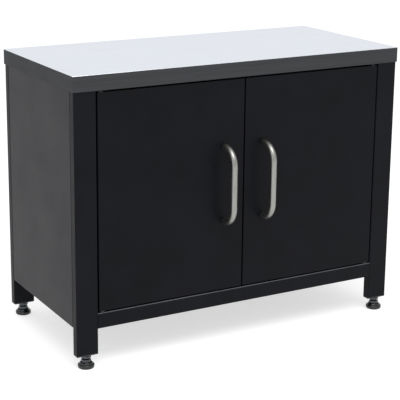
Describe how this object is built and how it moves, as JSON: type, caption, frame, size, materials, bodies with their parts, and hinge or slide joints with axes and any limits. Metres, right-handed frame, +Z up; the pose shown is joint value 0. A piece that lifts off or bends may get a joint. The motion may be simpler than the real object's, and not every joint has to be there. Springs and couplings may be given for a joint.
{
  "type": "storage base cabinet",
  "caption": "Floor-standing steel base cabinet with a stainless worktop, hinged inset doors with bow handles, an adjustable shelf and levelling feet.",
  "frame": {"origin": "floor level, at the centre of the rectangle that the worktop and the handles cover", "axes": "+X towards the right-hand door, +Y to the back, +Z up"},
  "size_m": [0.812, 0.433, 0.632],
  "materials": {
    "worktop_stainless": "fine brushed stainless sheet, bright",
    "worktop_board": "raw particle board",
    "screw_zinc": "zinc plated",
    "frame_powder_coat": "fine satin powder coat, near black",
    "panel_powder_coat": "fine satin powder coat, near black",
    "door_powder_coat": "fine satin powder coat, near black",
    "insert_nylon": "moulded nylon",
    "zinc_plate": "zinc plated",
    "hinge_black_oxide": "black oxide on turned steel",
    "catch_plastic": "moulded",
    "magnet_pole": "ground steel",
    "buffer_rubber": "moulded rubber",
    "handle_stainless": "satin brushed bar",
    "foot_steel": "dark zinc plated",
    "foot_plastic": "moulded, semi gloss"
  },
  "bodies": {
    "cabinet": {"back_panel": "panel_powder_coat", "back_panel_screws": "screw_zinc", "catch_housing_left": "catch_plastic", "catch_housing_right": "catch_plastic", "catch_magnets": "magnet_pole", "door_buffers": "buffer_rubber", "floor_panel": "panel_powder_coat", "front_rail": "frame_powder_coat", "front_stretcher": "frame_powder_coat", "hinge_bracket_left": "frame_powder_coat", "hinge_bracket_right": "frame_powder_coat", "hinge_pin_lower_left": "hinge_black_oxide", "hinge_pin_lower_right": "hinge_black_oxide", "hinge_pin_upper_left": "hinge_black_oxide", "hinge_pin_upper_right": "hinge_black_oxide", "leg_inserts": "insert_nylon", "lock_nuts": "foot_steel", "post_front_left": "frame_powder_coat", "post_front_right": "frame_powder_coat", "post_rear_left": "frame_powder_coat", "post_rear_right": "frame_powder_coat", "rear_rail_lower": "frame_powder_coat", "rear_rail_upper": "frame_powder_coat", "shelf": "panel_powder_coat", "shelf_clips": "zinc_plate", "shelf_standards": "zinc_plate", "side_panel_left": "panel_powder_coat", "side_panel_right": "panel_powder_coat", "side_rail_lower_left": "frame_powder_coat", "side_rail_lower_right": "frame_powder_coat", "side_rail_upper_left": "frame_powder_coat", "side_rail_upper_right": "frame_powder_coat", "worktop_core": "worktop_board", "worktop_screws": "screw_zinc", "worktop_skin": "worktop_stainless"},
    "door_left": {"door_pan_left": "door_powder_coat", "door_liner_left": "door_powder_coat", "hinge_blocks_left": "zinc_plate", "hinge_bushes_left": "insert_nylon", "strike_plate_left": "zinc_plate", "handle_left": "handle_stainless", "handle_screws_left": "screw_zinc"},
    "door_right": {"door_pan_right": "door_powder_coat", "door_liner_right": "door_powder_coat", "hinge_blocks_right": "zinc_plate", "hinge_bushes_right": "insert_nylon", "strike_plate_right": "zinc_plate", "handle_right": "handle_stainless", "handle_screws_right": "screw_zinc"},
    "foot_front_left": {"foot_stud_front_left": "foot_steel", "foot_pad_front_left": "foot_plastic"},
    "foot_front_right": {"foot_stud_front_right": "foot_steel", "foot_pad_front_right": "foot_plastic"},
    "foot_rear_left": {"foot_stud_rear_left": "foot_steel", "foot_pad_rear_left": "foot_plastic"},
    "foot_rear_right": {"foot_stud_rear_right": "foot_steel", "foot_pad_rear_right": "foot_plastic"}
  },
  "joints": [
    {"name": "door_left_hinge", "type": "hinge", "parent": "cabinet", "child": "door_left", "pos_m": [-0.342, -0.158, 0.36], "axis": [0, 0, -1], "range_deg": [0, 110]},
    {"name": "door_right_hinge", "type": "hinge", "parent": "cabinet", "child": "door_right", "pos_m": [0.342, -0.158, 0.36], "axis": [0, 0, 1], "range_deg": [0, 110]},
    {"name": "foot_front_left_adjust", "type": "slide", "parent": "cabinet", "child": "foot_front_left", "axis": [0, 0, 1], "range_m": [-0.012, 0.002]},
    {"name": "foot_front_right_adjust", "type": "slide", "parent": "cabinet", "child": "foot_front_right", "axis": [0, 0, 1], "range_m": [-0.012, 0.002]},
    {"name": "foot_rear_left_adjust", "type": "slide", "parent": "cabinet", "child": "foot_rear_left", "axis": [0, 0, 1], "range_m": [-0.012, 0.002]},
    {"name": "foot_rear_right_adjust", "type": "slide", "parent": "cabinet", "child": "foot_rear_right", "axis": [0, 0, 1], "range_m": [-0.012, 0.002]}
  ]
}
